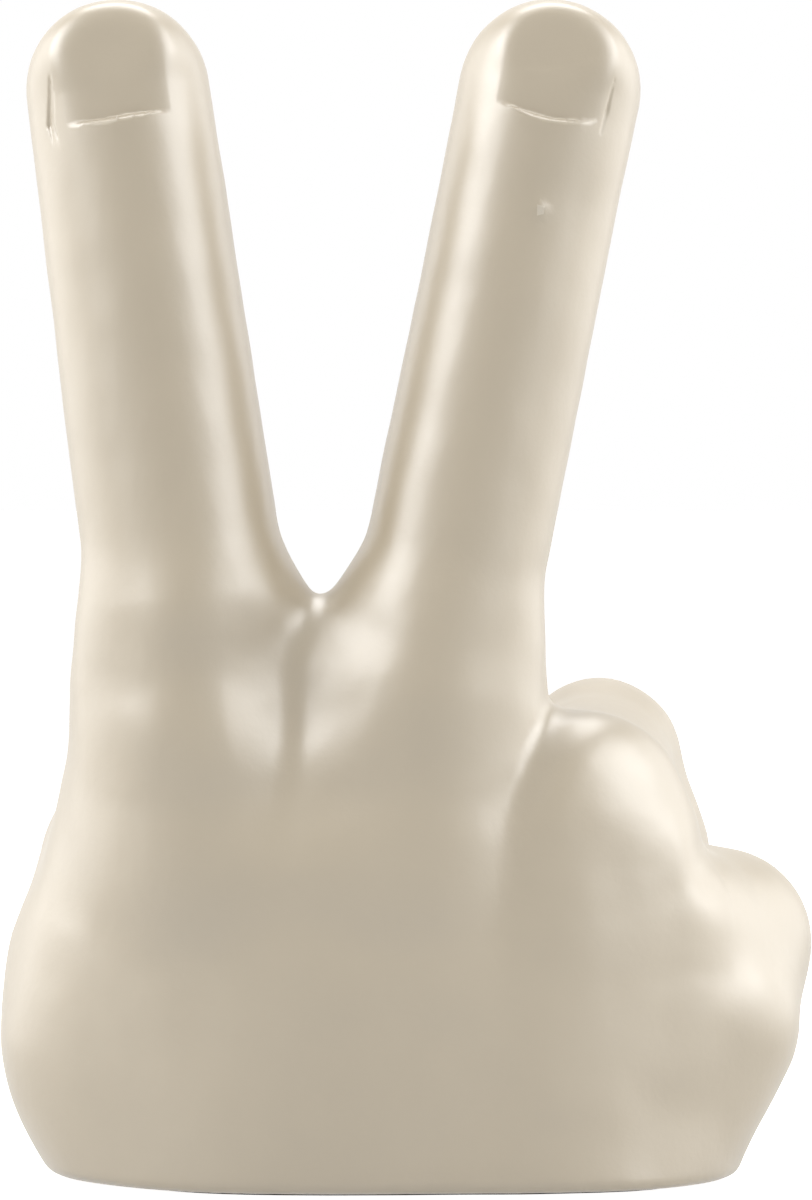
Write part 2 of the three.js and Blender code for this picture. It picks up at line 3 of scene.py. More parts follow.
import bmesh
import bpy
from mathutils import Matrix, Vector


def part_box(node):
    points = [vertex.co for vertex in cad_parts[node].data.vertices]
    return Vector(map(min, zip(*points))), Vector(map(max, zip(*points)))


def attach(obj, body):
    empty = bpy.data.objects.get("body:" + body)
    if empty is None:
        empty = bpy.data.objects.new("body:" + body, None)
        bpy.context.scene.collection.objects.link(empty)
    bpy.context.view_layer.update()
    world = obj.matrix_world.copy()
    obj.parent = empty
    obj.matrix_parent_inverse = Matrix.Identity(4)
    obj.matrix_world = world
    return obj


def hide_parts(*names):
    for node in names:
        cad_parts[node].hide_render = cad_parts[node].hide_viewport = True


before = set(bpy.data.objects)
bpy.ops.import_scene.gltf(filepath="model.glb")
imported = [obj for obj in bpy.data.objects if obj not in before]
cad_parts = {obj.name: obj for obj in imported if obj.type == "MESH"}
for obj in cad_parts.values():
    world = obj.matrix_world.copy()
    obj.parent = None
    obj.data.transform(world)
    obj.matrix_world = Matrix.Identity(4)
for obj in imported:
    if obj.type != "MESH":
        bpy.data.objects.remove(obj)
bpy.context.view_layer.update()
scene = bpy.context.scene


# The hand: one hollow casting in filled resin, sprayed all over with a satin putty-white lacquer.
# Its form is built up as a sculptor does in clay, limb by limb, each flowing into the next.
# Its sizes are in millimetres from the middle of the palm's foot, with the back of the hand towards -Y.

class Clay:
    """A number or a place that a node tree works out at every point of the hand."""

    def __init__(self, tree, socket):
        self.tree = tree
        self.socket = socket
        self.is_place = socket.type == "VECTOR"

    def node(self, kind, *values, **settings):
        node = self.tree.nodes.new(kind)
        for name, setting in settings.items():
            setattr(node, name, setting)
        for socket, value in zip([s for s in node.inputs if s.enabled], values):
            if isinstance(value, Clay):
                self.tree.links.new(value.socket, socket)
            else:
                socket.default_value = value
        return [Clay(self.tree, socket) for socket in node.outputs if socket.enabled]

    def work(self, operation, *values):
        kind = "ShaderNodeVectorMath" if self.is_place else "ShaderNodeMath"
        return self.node(kind, *values, operation=operation)[0]

    def __add__(self, other):
        return self.work("ADD", self, other)

    def __sub__(self, other):
        return self.work("SUBTRACT", self, other)

    def __rsub__(self, other):
        return self.work("SUBTRACT", other, self)

    def __mul__(self, other):
        return self.work("SCALE" if self.is_place else "MULTIPLY", self, other)

    def __truediv__(self, other):
        return self.work("DIVIDE", self, other)

    def __rtruediv__(self, other):
        return self.work("DIVIDE", other, self)

    def __pow__(self, other):
        return self.work("POWER", self, other)

    def __lt__(self, other):
        return self.work("LESS_THAN", self, other)

    def __abs__(self):
        return self.work("ABSOLUTE", self)

    def least(self, other):
        return self.work("MINIMUM", self, other)

    def most(self, other):
        return self.work("MAXIMUM", self, other)

    def dot(self, other):
        return self.work("DOT_PRODUCT", self, other)

    def length(self):
        return self.work("LENGTH", self)

    def unit(self):
        return self.work("NORMALIZE", self)

    def rounded_up(self):
        return self.work("CEIL", self)

    def parts(self):
        return self.node("ShaderNodeSeparateXYZ", self)


NUMBER, PLACE = "NodeSocketFloat", "NodeSocketVector"


def form(name, recipe, **inputs):
    """A node group that says how far a point lies outside one kind of form."""
    group = bpy.data.node_groups.new(name, "GeometryNodeTree")
    for label, kind in inputs.items():
        group.interface.new_socket(label.replace("_", " ").title(), in_out="INPUT", socket_type=kind)
    group.interface.new_socket("Distance", in_out="OUTPUT", socket_type=NUMBER)
    way_in = group.nodes.new("NodeGroupInput")
    way_out = group.nodes.new("NodeGroupOutput")
    distance = recipe(*[Clay(group, socket) for socket in way_in.outputs[:len(inputs)]])
    group.links.new(distance.socket, way_out.inputs["Distance"])
    return group


def add(group, point, *values, label="", **sizes):
    """Puts one form into the tree that the point belongs to, with its values in order and then by name."""
    inputs = [item.name for item in group.interface.items_tree if item.in_out == "INPUT"]
    named = {name.replace("_", " ").title(): size for name, size in sizes.items()}
    values = [point, *values, *[named[name] for name in inputs[len(values) + 1:]]]
    return point.node("GeometryNodeGroup", *values, node_tree=group, label=label)[0]


def flow_recipe(one, other, reach):
    """Two forms in one, with the corner between them filled over a reach."""
    near = (reach - abs(one - other)).most(0)
    return one.least(other) - near * near / (reach * 4)


def limb_recipe(point, start, end, start_radius, end_radius):
    """A round limb that tapers from joint to joint."""
    axis = end - start
    offset = point - start
    along = (offset.dot(axis) / axis.dot(axis)).most(0).least(1)
    return (offset - axis * along).length() - start_radius - (end_radius - start_radius) * along


def palm_recipe(point, centre, half, power):
    """A pillow: a block as rounded as its power is low."""
    share = (point - centre) / half
    x, y, z = [abs(part) ** power for part in share.parts()]
    return ((x + y + z) ** (1 / power) - 1) * half.dot((0, 1, 0))


def raised_finger_recipe(
    point, root, tip, root_radius, tip_radius, waist, depth_ratio, shaft_power, tip_power, blunt_power,
):
    """A raised finger: nearly round along its shaft, flatter on the nail's side of its tip."""
    bone = tip - root
    length = bone.length()
    axis = bone.unit()
    inward = ((0, 1, 0) - axis * axis.dot((0, 1, 0))).unit()
    offset = point - root
    along = offset.dot(axis).most(0).least(length)
    across = offset - axis * along
    depth = across.dot(inward)
    past = (offset.dot(axis) - length).most(0)
    beside = (across.dot(across) - depth * depth - past * past).most(1e-6)
    flat = (beside ** (blunt_power / 2) + past ** blunt_power) ** (2 / blunt_power)
    rise = (past * past / flat).least(1) * (depth < 0)
    power = shaft_power + (tip_power - shaft_power) * rise
    girth = (flat ** (power / 2) + (abs(depth) / depth_ratio) ** power) ** (1 / power)
    share = along / length
    return girth - root_radius - (tip_radius - root_radius) * share + waist * share * (1 - share) * 4


def carve_recipe(one, other, reach):
    """What two forms share, with the edge between them rounded over a reach."""
    near = (reach - abs(one - other)).most(0)
    return one.most(other) + near * near / (reach * 4)


def knuckle_recipe(point, left, right, left_slope, right_slope, front_slope, edge, low, high, girth):
    """A knuckle under the skin: a flat crest between two slopes, kept to a stretch of the finger."""
    whole = (point - left).dot(front_slope)
    whole = add(carve, whole, (point - left).dot(left_slope), edge)
    whole = add(carve, whole, (point - right).dot(right_slope), edge)
    return add(carve, whole, add(limb, point, low, high, girth, girth), edge)


def nail_recipe(point, skin, tip, axis, outward, side, half_width, cuticle, sag, step, plate, tilt):
    """What is scraped off over a nail: a step at the cuticle that runs out into a flat, sloping plate."""
    run_out, edge, back = 9, 1.2, 2
    offset = point - tip
    share = offset.dot(side) / half_width
    along = offset.dot(axis) - cuticle - share * share * sag
    depth = (1 - share * share).most(0) * (1 - along / run_out).most(0) * step
    face = add(carve, skin + depth, offset.dot(outward) + along * tilt - plate, edge)
    return face.least(along).least(offset.dot(outward) - back)


def crease_recipe(point, tip, axis, outward, along, depth, width):
    """How deep the skin is pressed in along a fold on the palm's side of a finger."""
    fade_deep, fade_wide, full_share = 8, 10, 1.6
    offset = point - tip
    near = (1 - abs(offset.dot(axis) - along) / width).most(0)
    across = (offset - axis * offset.dot(axis) - outward * offset.dot(outward)).length()
    facing = (0 - offset.dot(outward) / fade_deep).most(0).least(1)
    facing = facing * (full_share - across / fade_wide).most(0).least(1)
    return near * near * facing * depth


def dome_recipe(point, foot, half):
    """The hollow's dome: an oval that closes in towards its top."""
    wall_power, dome_power = 1.25, 0.45
    x, y, z = ((point - foot) / half).parts()
    upward = z.most(0)
    size = (x * x + y * y) ** wall_power + upward * upward
    return (size ** dome_power - 1) * half.dot((0, 1, 0))


flow = form("Flow", flow_recipe, one=NUMBER, other=NUMBER, reach=NUMBER)
carve = form("Carve", carve_recipe, one=NUMBER, other=NUMBER, reach=NUMBER)
limb = form("Limb", limb_recipe, point=PLACE, start=PLACE, end=PLACE, start_radius=NUMBER, end_radius=NUMBER)
palm = form("Palm", palm_recipe, point=PLACE, centre=PLACE, half_size=PLACE, power=NUMBER)
raised_finger = form(
    "Raised Finger", raised_finger_recipe, point=PLACE, root=PLACE, tip=PLACE, root_radius=NUMBER,
    tip_radius=NUMBER, waist=NUMBER, depth_ratio=NUMBER, shaft_power=NUMBER, tip_power=NUMBER,
    blunt_power=NUMBER,
)
knuckle = form(
    "Knuckle", knuckle_recipe, point=PLACE, crest_left=PLACE, crest_right=PLACE, left_slope=PLACE,
    right_slope=PLACE, front_slope=PLACE, edge=NUMBER, low=PLACE, high=PLACE, girth=NUMBER,
)
nail = form(
    "Nail", nail_recipe, point=PLACE, skin=NUMBER, tip=PLACE, axis=PLACE, outward=PLACE, side=PLACE,
    half_width=NUMBER, cuticle=NUMBER, sag=NUMBER, step=NUMBER, plate=NUMBER, tilt=NUMBER,
)
crease = form(
    "Crease", crease_recipe, point=PLACE, tip=PLACE, axis=PLACE, outward=PLACE, along=NUMBER, depth=NUMBER,
    width=NUMBER,
)
dome = form("Dome", dome_recipe, point=PLACE, foot=PLACE, half_size=PLACE)


def joined(forms, reach):
    """Several forms in one, each flowing into those before it."""
    whole = forms[0]
    for other in forms[1:]:
        whole = add(flow, whole, other, reach)
    return whole


def chain(point, label, joints, radii, reach):
    """The limbs of one digit, from joint to joint."""
    bones = [
        add(limb, point, joints[i], joints[i + 1], radii[i], radii[i + 1], label=label)
        for i in range(len(joints) - 1)
    ]
    return joined(bones, reach)


FINGERTIP_HEIGHT, KNUCKLE_HEIGHT = 140.4, 60
FINGER_ROOT_Y, FINGERTIP_Y = -8.8, -5
DEPTH_RATIO, SHAFT_POWER, TIP_POWER, BLUNT_POWER = 0.98, 2.0, 4, 2.1


class RaisedFinger:
    """Places and sizes of one raised finger, which leans from upright by some degrees."""

    def __init__(self, root_x, lean, root_radius, tip_radius, waist):
        height = FINGERTIP_HEIGHT - tip_radius
        run = (height - KNUCKLE_HEIGHT) * math.tan(math.radians(lean))
        self.root = Vector((root_x, FINGER_ROOT_Y, KNUCKLE_HEIGHT))
        self.tip = Vector((root_x + run, FINGERTIP_Y, height))
        self.root_radius, self.tip_radius, self.waist = root_radius, tip_radius, waist
        self.axis = (self.tip - self.root).normalized()
        self.outward = (self.axis * self.axis.y - Vector((0, 1, 0))).normalized()
        self.side = self.axis.cross(self.outward)

    def skin(self, across, along):
        """A place on the nail's side of the finger, measured from the middle of its tip."""
        depth = DEPTH_RATIO * math.sqrt(self.tip_radius ** 2 - across ** 2)
        return self.tip + self.axis * along + self.side * across + self.outward * depth


index = RaisedFinger(root_x=-24.5, lean=-7.9, root_radius=11.9, tip_radius=10.9, waist=0)
middle = RaisedFinger(root_x=2.85, lean=11.5, root_radius=11.2, tip_radius=10.75, waist=0.3)

RING_JOINTS = [(21, -5.2, 44.6), (23.6, 21, 49.3), (27.6, 23, 38), (19, 12, 24)]
LITTLE_JOINTS = [(30.5, -2.5, 31), (37.4, 11, 27.5), (33, 18, 13), (25, 9, 10)]
THUMB_JOINTS = [(-31, 9, 26), (-30.3, 14, 36.5), (-8, 28, 43), (9.5, 34, 39.5)]
RIM_HEIGHT, RIM_ROUNDING = 0.4, 1.4


def hand_back(point):
    """The long bones in the back of the hand, from the knuckles down to the foot."""
    bones = [
        ("index bone", index.root + Vector((-2.6, 3.5, 0)), (-17, -5, 0), 12, 16),
        ("middle bone", middle.root + Vector((0.8, 3, 0)), (0, -5, 0), 11.4, 16),
        ("between the bones", (-13, -8.3, 37), (-9, -5.5, 0), 12, 16),
        ("ring bone", (20, -7, 40), (13, -5, 0), 8.5, 16),
        ("little bone", (28, -3, 31), (22, -5, 0), 6.6, 14),
    ]
    return joined([add(limb, point, *sizes, label=label) for label, *sizes in bones], 4)


def slope(*direction):
    """A direction, with a length of 1."""
    return Vector(direction).normalized()


def face(point, place, *direction):
    """A flat face through a place, which looks in a direction."""
    return (point - place).dot(slope(*direction))


def knuckles(point):
    """The two big knuckles: flat crests with flat flanks that meet in a crease below the fingers' fork."""
    bounds = joined([
        add(limb, point, (-24.8, -8.3, 38), (-25.3, -9.2, 66), 12.7, 13.1, label="index knuckle"),
        add(limb, point, (-0.5, -7.8, 38), (4, -8, 65), 13.2, 11.6, label="middle knuckle"),
        add(limb, point, (-24, -9.4, 54), (1, -8.9, 54), 12.6, 12.6, label="between the knuckles"),
        add(limb, point, (-24, -9, 40), (1, -8.6, 40), 11.8, 11.8, label="below the knuckles"),
    ], 3)
    crest = face(point, (-24, -21.9, 58), 0.03, -1, 0.12)
    index_left = face(point, (-29.9, -21.7, 60), -0.55, -0.79, 0.24)
    index_right = face(point, (-23.6, -21.8, 60), 0.62, -0.77, 0.18)
    middle_left = face(point, (-3.2, -20.9, 54.4), -0.475, -0.87, 0.26)
    middle_right = face(point, (4.5, -20.8, 56), 0.40, -0.90, 0.15)
    crease_width, edge, shoulder = 2.2, 2, 5
    block = add(carve, crest, add(flow, index_right, middle_left, crease_width), edge)
    for side in (index_left, middle_right):
        block = add(carve, block, side, edge)
    return add(carve, block, bounds, shoulder)


def palm_pads(point):
    """The soft pads of the palm and of the thumb's root."""
    pads = [
        ("ball of the thumb", (-30.3, 4.4, 16.8), (-16, 10, 8), 17.9, 15),
        ("muscle beside the thumb", (-26.6, 0, 52), (-30, 1.5, 30), 11, 14.2),
        ("heel pad", (32, 5, 19), (18, 10, 5), 11, 12),
        ("palm pad", (-8, 11, 40), (23, 14, 34), 11, 12),
    ]
    return joined([add(limb, point, *sizes, label=label) for label, *sizes in pads], 7)


def folded_fingers(point):
    """The ring and the little finger: a knuckle under the skin, and the bones folded into the palm."""
    ring_knuckle = add(
        knuckle, point, label="ring knuckle", crest_left=(14.4, -18.9, 46.6), crest_right=(26.5, -15.6, 46.6),
        left_slope=slope(-0.62, -0.67, 0.41), right_slope=slope(0.75, -0.65, 0.1),
        front_slope=slope(0.33, -0.94, 0.1), edge=5, low=(17.5, -6, 14), high=(20.6, -6.6, 42.5), girth=14,
    )
    little_knuckle = add(
        knuckle, point, label="little knuckle", crest_left=(26, -14.8, 36), crest_right=(34, -11.5, 36),
        left_slope=slope(-0.7, -0.65, 0.3), right_slope=slope(0.97, -0.2, 0.15),
        front_slope=slope(0.38, -0.92, 0.06), edge=2, low=(27, -4, 16), high=(27.6, -4, 36.4), girth=10,
    )
    ring = joined([
        chain(point, "ring finger", RING_JOINTS, (10.1, 9.5, 9.2, 8.4), 2),
        add(limb, point, (23.3, 1, 41), (25.6, 20, 41.5), 9.6, 9.4, label="ring finger's fold"),
        ring_knuckle,
    ], 2)
    little = joined([chain(point, "little finger", LITTLE_JOINTS, (9, 11.3, 9, 8), 2), little_knuckle], 2)
    return ring, little


WEB_EDGES = ((-7.5, 62.6), (1.5, 62))
NAIL_LENGTH, NAIL_HALF_WIDTH, NAIL_STEP, NAIL_SINK, NAIL_TILT = 14.5, 6.2, 0.55, 0.7, 0.1
THUMB_NAIL = dict(half_width=6, cuticle=-3.6, sag=0.6, step=0.5, plate=8.6, tilt=0.1)
FINGER_FOLDS, FOLD_DEPTH, FOLD_WIDTH = (-27, -50), 0.5, 1.4
NAIL_GROOVES = [
    (index, [(-8.1, -5.2), (-8.4, -3.2), (-8, -0.8), (-7.4, 2.4)], (0.12, 0.3, 0.26, 0.1)),
    (index, [(-7.5, -4.8), (-7.9, -3), (-7.4, 0.6)], (0.1, 0.2, 0.08)),
    (middle, [(6.8, -4.2), (7, -1.5), (7, 2.4)], (0.1, 0.24, 0.08)),
]
GROOVE_FLOW, GROOVE_EDGE = 0.1, 0.2
PIMPLE, PIMPLE_FLOW = [middle.skin(1.6, -14.6), middle.skin(1.6, -14.4)], 0.8
RUBBING_SCALE, RUBBING_DETAIL, RUBBING_ROUGHNESS, RUBBING_DEPTH = 0.085, 1.5, 0.5, 0.5
thumb_tip = Vector(THUMB_JOINTS[3])
thumb_axis = (thumb_tip - Vector(THUMB_JOINTS[2])).normalized()
thumb_outward = Vector((0, 1, 0.404))
thumb_outward = (thumb_outward - thumb_axis * thumb_outward.dot(thumb_axis)).normalized()


def skin_recipe(point):
    """The hand's whole skin: every form flows into those before it, then the nails and folds are cut in."""
    fingers = [
        add(
            raised_finger, point, f.root + f.axis * start, f.tip, f.root_radius, f.tip_radius, f.waist,
            DEPTH_RATIO, SHAFT_POWER, TIP_POWER, BLUNT_POWER,
        )
        for f, start in ((index, 10), (middle, 0))
    ]
    web = joined([
        chain(point, "web", [(-18.5, y, z + 5), (-10.2, y, z), (-2, y, z + 5.4)], (5, 5.4, 5), 2)
        for y, z in WEB_EDGES
    ], 3)
    ring, little = folded_fingers(point)
    steps = [
        (hand_back(point), 6),
        (palm_pads(point), 8),
        (joined(fingers, 2), 3),
        (web, 6),
        (knuckles(point), 4),
        (add(limb, point, (34.6, 3, 19), (28.6, 1.5, 6.6), 12, 11.2, label="heel"), 8),
        (little, 4),
        (ring, 2.4),
        (chain(point, "thumb", THUMB_JOINTS, (15.5, 12.8, 10.4, 9.4), 5), 5),
    ]
    whole = add(palm, point, centre=(-4, 0, 14), half_size=(37, 21, 46), power=2.4)
    for part, reach in steps:
        whole = add(flow, whole, part, reach)
    for finger, sag in ((index, 0), (middle, 0.9)):
        plate = add(
            nail, point, whole, finger.tip, finger.axis, finger.outward, finger.side,
            half_width=NAIL_HALF_WIDTH, cuticle=finger.tip_radius - NAIL_LENGTH, sag=sag, step=NAIL_STEP,
            plate=finger.tip_radius * DEPTH_RATIO - NAIL_SINK, tilt=NAIL_TILT,
        )
        whole = whole.most(plate)
        for along in FINGER_FOLDS:
            fold = add(crease, point, finger.tip, finger.axis, finger.outward, along, FOLD_DEPTH, FOLD_WIDTH)
            whole = whole + fold
    thumb_plate = add(
        nail, point, whole, thumb_tip, thumb_axis, thumb_outward, thumb_axis.cross(thumb_outward), **THUMB_NAIL,
    )
    whole = whole.most(thumb_plate)
    for finger, places, widths in NAIL_GROOVES:
        groove = chain(point, "nail groove", [finger.skin(*place) for place in places], widths, GROOVE_FLOW)
        whole = add(carve, whole, 0 - groove, GROOVE_EDGE)
    pimple = add(limb, point, *PIMPLE, start_radius=0.6, end_radius=0.45, label="pimple")
    whole = add(flow, whole, pimple, PIMPLE_FLOW)
    rubbing = point.node("ShaderNodeTexNoise", point, RUBBING_SCALE, RUBBING_DETAIL, RUBBING_ROUGHNESS)[0]
    whole = whole + (rubbing - 0.5) * RUBBING_DEPTH
    return add(carve, whole, RIM_HEIGHT - point.dot((0, 0, 1)), RIM_ROUNDING)


skin_form = form("Skin", skin_recipe, point=PLACE)

HOLLOW_X, HOLLOW_HALF_SIZE = -2.5, (29, 13, 41.5)
FELT_SEAT, FELT_MARGIN, CAP_SEAT, CAP_RADIUS, CAP_STRETCH = 1.2, 3.5, 4.5, 16, 2
BORE_RADIUS, BORE_FOOT, BORE_COVER = 2.3, 20, 11.7


def hand_recipe(point):
    """The skin with its hollow: a dome for the weight, a seat for the cap, a bed for the felt and two bores."""
    skin = add(skin_form, point)
    height = point.dot((0, 0, 1))
    weight_room = add(dome, point, (HOLLOW_X, 0, CAP_SEAT), HOLLOW_HALF_SIZE).most(0 - height)
    oval = (point - (HOLLOW_X, 0, 0)) / (CAP_STRETCH, 1, 1)
    seat = add(limb, oval, (0, 0, -20), (0, 0, 20), CAP_RADIUS, CAP_RADIUS)
    felt_bed = (skin + FELT_MARGIN).most(height - FELT_SEAT)
    room = weight_room.least(seat.most(height - CAP_SEAT)).least(felt_bed)
    for finger in (index, middle):
        bore_foot = finger.root - finger.axis * ((KNUCKLE_HEIGHT - BORE_FOOT) / finger.axis.z)
        bore_foot.y = 0
        head = finger.tip + finger.axis * (finger.tip_radius - BORE_COVER)
        room = room.least(add(limb, point, bore_foot, head, BORE_RADIUS, BORE_RADIUS, label="bore"))
    return skin.most(0 - room)


hand_form = form("Hand", hand_recipe, point=PLACE)


def new_tree(name, **inputs):
    """A tree that makes geometry from named inputs."""
    tree = bpy.data.node_groups.new(name, "GeometryNodeTree")
    for label, kind in inputs.items():
        tree.interface.new_socket(label.replace("_", " ").title(), in_out="INPUT", socket_type=kind)
    tree.interface.new_socket("Geometry", in_out="OUTPUT", socket_type="NodeSocketGeometry")
    way_in = tree.nodes.new("NodeGroupInput")
    return tree, [Clay(tree, socket) for socket in way_in.outputs[:len(inputs)]]


def here(tree):
    """The place of each point that a tree works on."""
    return Clay(tree, tree.nodes.new("GeometryNodeInputPosition").outputs["Position"])


def painted(tree, geometry, *coats):
    """Ends a tree: plain smooth geometry with its coats, each on the faces that it is for."""
    smooth = geometry.node("GeometryNodeSetShadeSmooth", geometry)[0]
    whole = geometry.node("GeometryNodeRealizeInstances", smooth)[0]
    for faces, material in coats:
        whole = geometry.node("GeometryNodeSetMaterial", whole, faces, material)[0]
    tree.links.new(whole.socket, tree.nodes.new("NodeGroupOutput").inputs[0])
    return tree


SHAPE, COAT = "NodeSocketGeometry", "NodeSocketMaterial"


def skin_tree():
    """The hand in coarse clay: a grid over the whole form, turned into a mesh where the clay ends."""
    tree, (low, high, cell, lacquer) = new_tree("hand_clay", low=PLACE, high=PLACE, cell=NUMBER, lacquer=COAT)
    inside = 0 - add(hand_form, here(tree))
    steps = [part.rounded_up() + 1 for part in ((high - low) * (1 / cell)).parts()]
    empty = -50
    clay = inside.node("GeometryNodeVolumeCube", inside, empty, low, high, *steps)[0]
    skin = inside.node("GeometryNodeVolumeToMesh", clay)[0]
    skin.socket.node.inputs["Threshold"].default_value = 0
    return painted(tree, skin, (True, lacquer))


def settle_tree(turns):
    """Draws every point of a finer skin onto the form, and turns the millimetres into metres."""
    tree, (geometry, foot, lacquer, resin) = new_tree(
        "hand_settled", geometry=SHAPE, foot=PLACE, lacquer=COAT, resin=COAT,
    )
    nudge, least_slope, lacquer_reach = 0.05, 0.05, 0.4
    for _ in range(turns):
        point = here(tree)
        distance = add(hand_form, point)
        aside = ((nudge, 0, 0), (0, nudge, 0), (0, 0, nudge))
        slopes = [(add(hand_form, point + step) - distance) / nudge for step in aside]
        steepest = point.node("ShaderNodeCombineXYZ", *slopes)[0]
        move = steepest * ((0 - distance) / steepest.dot(steepest).most(least_slope))
        geometry = point.node("GeometryNodeSetPosition", geometry, True, point, move)[0]
    to_metres = geometry.node("GeometryNodeTransform", geometry)[0]
    tree.links.new(foot.socket, to_metres.socket.node.inputs["Translation"])
    to_metres.socket.node.inputs["Scale"].default_value = (0.001, 0.001, 0.001)
    bare = add(skin_form, (here(tree) - foot) * 1000) < -lacquer_reach
    return painted(tree, to_metres, (True, lacquer), (bare, resin))


def made(thing, tree, **values):
    """Lets a node tree work on a thing, and keeps what it makes as a plain mesh."""
    maker = thing.modifiers.new(tree.name, "NODES")
    maker.node_group = tree
    sockets = {item.name: item.identifier for item in tree.interface.items_tree if item.in_out == "INPUT"}
    for name, value in values.items():
        maker[sockets[name.title()]] = value
    result = bpy.data.meshes.new_from_object(thing.evaluated_get(bpy.context.evaluated_depsgraph_get()))
    thing.modifiers.clear()
    thing.data = result
    return result


NAIL_SIDE, NAIL_LOW, NAIL_HIGH, THUMB_NAIL_X = 3, -6, 9.5, 3
FOLD_SIDE, FOLD_REACH = -3, 2.4
RIM_TOP, FLAT_CENTRE_X, FLAT_HALF_LENGTH, FLAT_HALF_WIDTH = 3.2, -4, 33, 16
FORK_BOX = (-35, -100, 41), (9, -5, 73)
FOLDED_BOX = (12, -100, 23), (100, 3, 60)


def within(place, low, high):
    """Whether a place lies in the box between two corners."""
    return all(start < part < end for start, part, end in zip(low, place, high))


def fine_work(place):
    """How many times the skin is halved at a place: nails most, knuckles, folded fingers and rim less."""
    for finger in (index, middle):
        offset = place - finger.tip
        if offset.dot(finger.outward) > NAIL_SIDE and NAIL_LOW < offset.dot(finger.axis) < NAIL_HIGH:
            return 2
    across, deep = (place.x - FLAT_CENTRE_X) / FLAT_HALF_LENGTH, place.y / FLAT_HALF_WIDTH
    rim = place.z < RIM_TOP and across ** 2 + deep ** 2 > 1
    thumb_nail = (place - thumb_tip).dot(thumb_outward) > NAIL_SIDE and place.x > THUMB_NAIL_X
    folds = place.y > FOLD_SIDE and any(
        abs((place - finger.tip).dot(finger.axis) - fold) < FOLD_REACH
        for finger in (index, middle) for fold in FINGER_FOLDS
    )
    fork, folded = within(place, *FORK_BOX), within(place, *FOLDED_BOX)
    return 1 if rim or thumb_nail or folds or fork or folded else 0


def refined(mesh, level):
    """Halves the edges of a mesh where its work is at least as fine as the level."""
    work = bmesh.new()
    work.from_mesh(mesh)
    fine = {vertex for vertex in work.verts if fine_work(vertex.co) >= level}
    edges = [edge for edge in work.edges if edge.verts[0] in fine and edge.verts[1] in fine]
    bmesh.ops.subdivide_edges(work, edges=edges, cuts=1, use_grid_fill=True)
    bmesh.ops.triangulate(work, faces=[facet for facet in work.faces if len(facet.verts) > 4])
    work.to_mesh(mesh)
    work.free()


cap_low, cap_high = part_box("base_cap")
foot = (cap_low + cap_high) / 2 - Vector((HOLLOW_X / 1000, 0, 0))
foot.z = 0
hand_object = bpy.data.objects.new("hand", bpy.data.meshes.new("hand_start"))
scene.collection.objects.link(hand_object)


def mottle_group():
    """Uneven tone: soft patches between a dark and a light colour, and their height for a bump."""
    group = bpy.data.node_groups.new("Mottle", "ShaderNodeTree")
    for label, kind in (("Scale", NUMBER), ("Dark", "NodeSocketColor"), ("Light", "NodeSocketColor")):
        group.interface.new_socket(label, in_out="INPUT", socket_type=kind)
    for label, kind in (("Color", "NodeSocketColor"), ("Height", NUMBER)):
        group.interface.new_socket(label, in_out="OUTPUT", socket_type=kind)
    way_in, way_out = group.nodes.new("NodeGroupInput"), group.nodes.new("NodeGroupOutput")
    where = group.nodes.new("ShaderNodeTexCoord")
    patches = group.nodes.new("ShaderNodeTexNoise")
    patches.inputs["Detail"].default_value = 3
    spread = group.nodes.new("ShaderNodeMapRange")
    spread.inputs["From Min"].default_value, spread.inputs["From Max"].default_value = 0.3, 0.7
    tone = group.nodes.new("ShaderNodeMix")
    tone.data_type = "RGBA"
    dark, light = [socket for socket in tone.inputs if socket.type == "RGBA"]
    blended = [socket for socket in tone.outputs if socket.type == "RGBA"][0]
    for start, end in (
        (where.outputs["Object"], patches.inputs["Vector"]), (way_in.outputs["Scale"], patches.inputs["Scale"]),
        (patches.outputs["Fac"], spread.inputs["Value"]), (spread.outputs["Result"], tone.inputs["Factor"]),
        (way_in.outputs["Dark"], dark), (way_in.outputs["Light"], light),
        (blended, way_out.inputs["Color"]), (spread.outputs["Result"], way_out.inputs["Height"]),
    ):
        group.links.new(start, end)
    return group


mottle = mottle_group()


def uneven_material(name, dark, light, patch, grain, roughness, bump, **constants):
    """A material with patches of two tones and a fine grain; patch and grain are sizes in metres."""
    material = bpy.data.materials.new(name)
    material.use_nodes = True
    nodes, links = material.node_tree.nodes, material.node_tree.links
    shader = nodes["Principled BSDF"]
    patches, grains = nodes.new("ShaderNodeGroup"), nodes.new("ShaderNodeGroup")
    patches.node_tree = grains.node_tree = mottle
    patches.inputs["Scale"].default_value, grains.inputs["Scale"].default_value = 1 / patch, 1 / grain
    patches.inputs["Dark"].default_value, patches.inputs["Light"].default_value = (*dark, 1), (*light, 1)
    gloss = nodes.new("ShaderNodeMapRange")
    gloss.inputs["To Min"].default_value, gloss.inputs["To Max"].default_value = roughness
    relief = nodes.new("ShaderNodeBump")
    relief.inputs["Distance"].default_value = bump
    links.new(patches.outputs["Color"], shader.inputs["Base Color"])
    links.new(grains.outputs["Height"], gloss.inputs["Value"])
    links.new(gloss.outputs["Result"], shader.inputs["Roughness"])
    links.new(grains.outputs["Height"], relief.inputs["Height"])
    links.new(relief.outputs["Normal"], shader.inputs["Normal"])
    for label, value in constants.items():
        shader.inputs[label.replace("_", " ").title().replace("Ior", "IOR")].default_value = value
    return material


